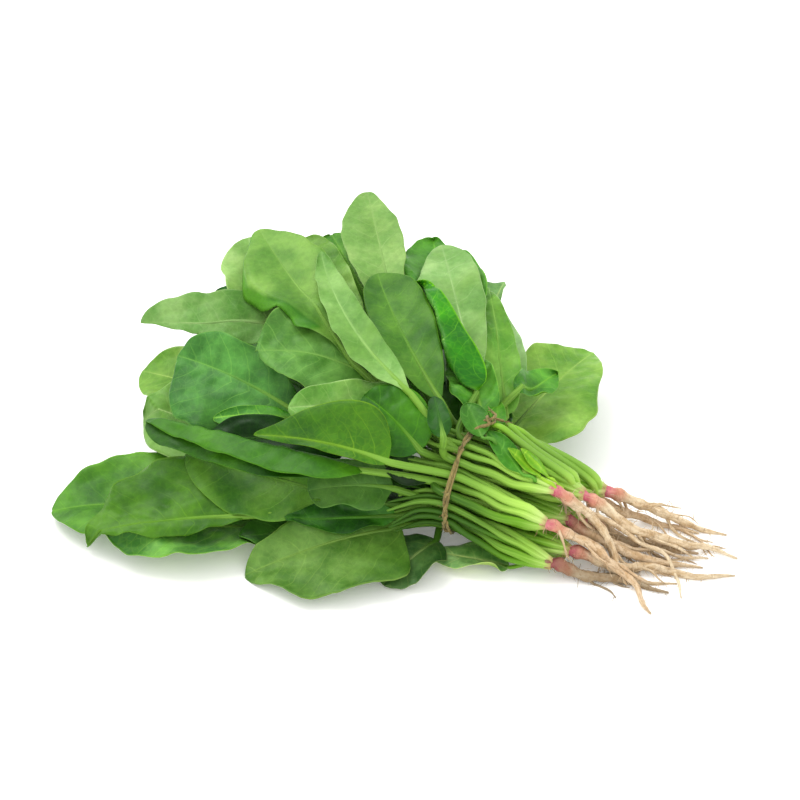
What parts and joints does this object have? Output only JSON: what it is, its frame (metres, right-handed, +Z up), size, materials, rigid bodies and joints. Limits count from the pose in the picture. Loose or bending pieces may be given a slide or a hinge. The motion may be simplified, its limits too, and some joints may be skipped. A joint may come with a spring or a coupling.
{
  "type": "bunch of spinach",
  "caption": "Tied bunch of spinach plants lying on its side, broad leaves fanned out one way and stalks running to pink crowns and taproots the other way.",
  "frame": {"origin": "middle of the underside of the bunch's bounding box, on the surface it lies on", "axes": "+Z up; +X towards the roots' side, along the bunch's longest extent; +Y towards the back, where the middle leaves fan out"},
  "size_m": [0.3664, 0.2636, 0.1035],
  "materials": {
    "leaf": "satin, veined green leaf blade and paler juicy stalk",
    "root": "matt, pink at the crown and beige towards the tip",
    "tie": "matt, thin twisted plant-fibre cord"
  },
  "bodies": {
    "root": {"leaf_back_broad": "leaf", "leaf_back_dark": "leaf", "leaf_back_left_small": "leaf", "leaf_back_low_left": "leaf", "leaf_back_low_middle": "leaf", "leaf_back_low_right": "leaf", "leaf_back_tall": "leaf", "leaf_back_torn": "leaf", "leaf_back_yellow": "leaf", "leaf_centre_band": "leaf", "leaf_centre_crinkled": "leaf", "leaf_centre_pointed": "leaf", "leaf_centre_veined": "leaf", "leaf_front_floor": "leaf", "leaf_front_lobed": "leaf", "leaf_front_narrow": "leaf", "leaf_front_small": "leaf", "leaf_front_tucked": "leaf", "leaf_inner_curled": "leaf", "leaf_inner_sheath": "leaf", "leaf_inner_small": "leaf", "leaf_left_crinkled": "leaf", "leaf_left_dark": "leaf", "leaf_left_dark_low": "leaf", "leaf_left_floor": "leaf", "leaf_left_inner": "leaf", "leaf_left_long": "leaf", "leaf_left_pale": "leaf", "leaf_left_pale_low": "leaf", "leaf_left_rolled": "leaf", "leaf_left_under": "leaf", "leaf_left_wide": "leaf", "leaf_right_back": "leaf", "leaf_right_crinkled": "leaf", "leaf_right_floor": "leaf", "leaf_right_fold": "leaf", "leaf_right_thin": "leaf", "leaf_top_folded": "leaf", "leaf_top_left": "leaf", "leaf_top_long": "leaf", "leaf_top_ribbed": "leaf", "leaf_under_stalks": "leaf", "root_back": "root", "root_bottom": "root", "root_far_right": "root", "root_front": "root", "root_low_back": "root", "root_low_front": "root", "root_middle": "root", "root_right": "root", "root_top": "root", "tie": "tie"}
  },
  "joints": []
}
